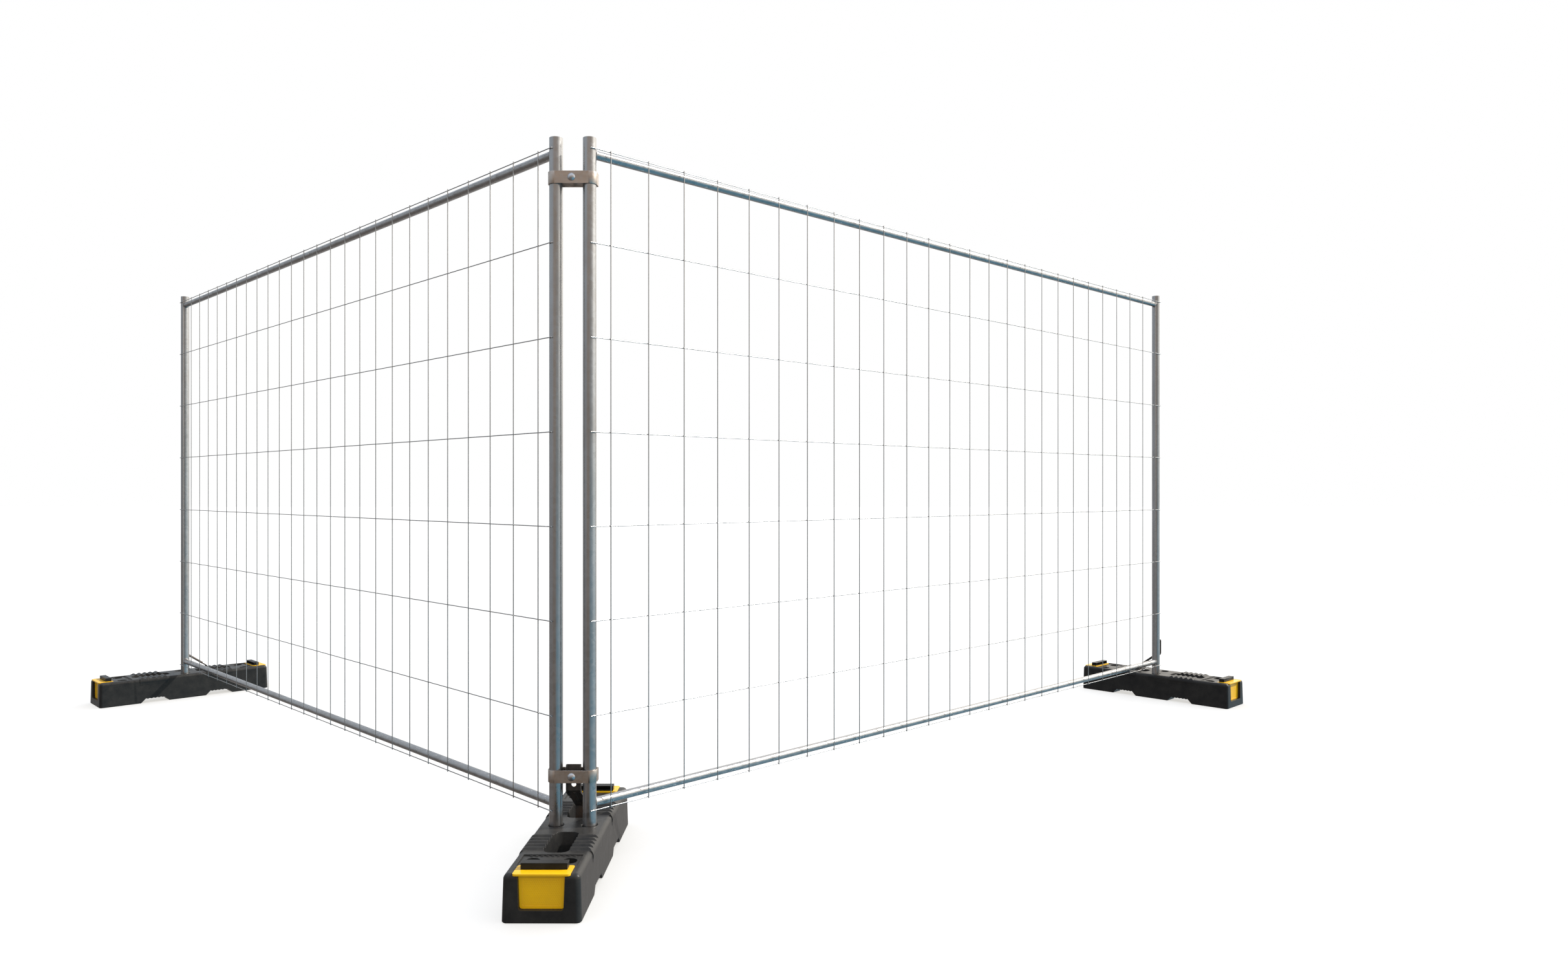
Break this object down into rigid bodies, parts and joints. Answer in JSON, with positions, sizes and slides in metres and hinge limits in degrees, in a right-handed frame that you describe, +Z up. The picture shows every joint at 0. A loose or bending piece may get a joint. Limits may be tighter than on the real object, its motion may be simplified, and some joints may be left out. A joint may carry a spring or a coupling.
{
  "type": "crowd control barrier",
  "caption": "Corner of temporary mesh fence: framed wire panels clamped together at a right angle, standing in moulded block feet with yellow end reflectors.",
  "frame": {"origin": "on the ground under the corner foot, midway between the two uprights that stand in it", "axes": "+Z up, +Y into the corner between the panels, +X towards the right panel"},
  "size_m": [5.735, 3.2081, 2.0543],
  "materials": {
    "foot_block": "dense recycled plastic, moulded, satin black with scuffs",
    "reflector": "moulded yellow retroreflective plastic",
    "end_bar": "satin black",
    "bracket": "dark dipped steel",
    "galvanised_tube": "hot-dip galvanised, dull with faint spangle",
    "galvanised_wire": "galvanised wire",
    "clamp_steel": "galvanised pressed steel, warm grey",
    "fastener": "zinc plated"
  },
  "bodies": {
    "base": {"corner_foot": "foot_block", "corner_foot_reflectors": "reflector", "corner_foot_end_bars": "end_bar", "corner_foot_bracket": "bracket", "upper_clamp_strap": "clamp_steel", "upper_clamp_bolt": "fastener", "lower_clamp_strap": "clamp_steel", "lower_clamp_bolt": "fastener"},
    "right_panel": {"right_inner_upright": "galvanised_tube", "right_outer_upright": "galvanised_tube", "right_top_rail": "galvanised_tube", "right_bottom_rail": "galvanised_tube", "right_vertical_wires": "galvanised_wire", "right_horizontal_wires": "galvanised_wire"},
    "left_panel": {"left_inner_upright": "galvanised_tube", "left_outer_upright": "galvanised_tube", "left_top_rail": "galvanised_tube", "left_bottom_rail": "galvanised_tube", "left_vertical_wires": "galvanised_wire", "left_horizontal_wires": "galvanised_wire"},
    "right_far_foot": {"right_foot": "foot_block", "right_foot_reflectors": "reflector", "right_foot_end_bars": "end_bar", "right_foot_bracket": "bracket"},
    "left_far_foot": {"left_foot": "foot_block", "left_foot_reflectors": "reflector", "left_foot_end_bars": "end_bar", "left_foot_bracket": "bracket"},
    "upper_rear_plate": {"upper_clamp_plate": "clamp_steel", "upper_clamp_washer": "fastener"},
    "upper_nut": {"upper_clamp_nut": "fastener"},
    "lower_rear_plate": {"lower_clamp_plate": "clamp_steel", "lower_clamp_washer": "fastener"},
    "lower_nut": {"lower_clamp_nut": "fastener"}
  },
  "joints": [
    {"name": "right_panel_swing", "type": "hinge", "parent": "base", "child": "right_panel", "pos_m": [0.0474, 0, 0], "axis": [0, 0, 1], "range_deg": [-45, 30]},
    {"name": "left_panel_swing", "type": "hinge", "parent": "base", "child": "left_panel", "pos_m": [-0.0474, 0, 0], "axis": [0, 0, 1], "range_deg": [-30, 45]},
    {"name": "right_foot_turn", "type": "hinge", "parent": "right_panel", "child": "right_far_foot", "pos_m": [2.4954, 2.448, 0], "axis": [0, 0, 1], "range_deg": [-90, 90]},
    {"name": "left_foot_turn", "type": "hinge", "parent": "left_panel", "child": "left_far_foot", "pos_m": [-2.4954, 2.448, 0], "axis": [0, 0, 1], "range_deg": [-90, 90]},
    {"name": "upper_clamp_release", "type": "slide", "parent": "base", "child": "upper_rear_plate", "axis": [0, 1, 0], "range_m": [0, 0.0075]},
    {"name": "upper_nut_turn", "type": "hinge", "parent": "upper_rear_plate", "child": "upper_nut", "pos_m": [0, 0.028, 1.9398], "axis": [0, 1, 0], "range_deg": [0, 1800]},
    {"name": "lower_clamp_release", "type": "slide", "parent": "base", "child": "lower_rear_plate", "axis": [0, 1, 0], "range_m": [0, 0.0075]},
    {"name": "lower_nut_turn", "type": "hinge", "parent": "lower_rear_plate", "child": "lower_nut", "pos_m": [0, 0.028, 0.26], "axis": [0, 1, 0], "range_deg": [0, 1800]}
  ],
  "couplings": [
    {"joint": "upper_nut_turn", "follows": "upper_clamp_release", "rad_per_m": 4188.8},
    {"joint": "lower_nut_turn", "follows": "lower_clamp_release", "rad_per_m": 4188.8}
  ]
}
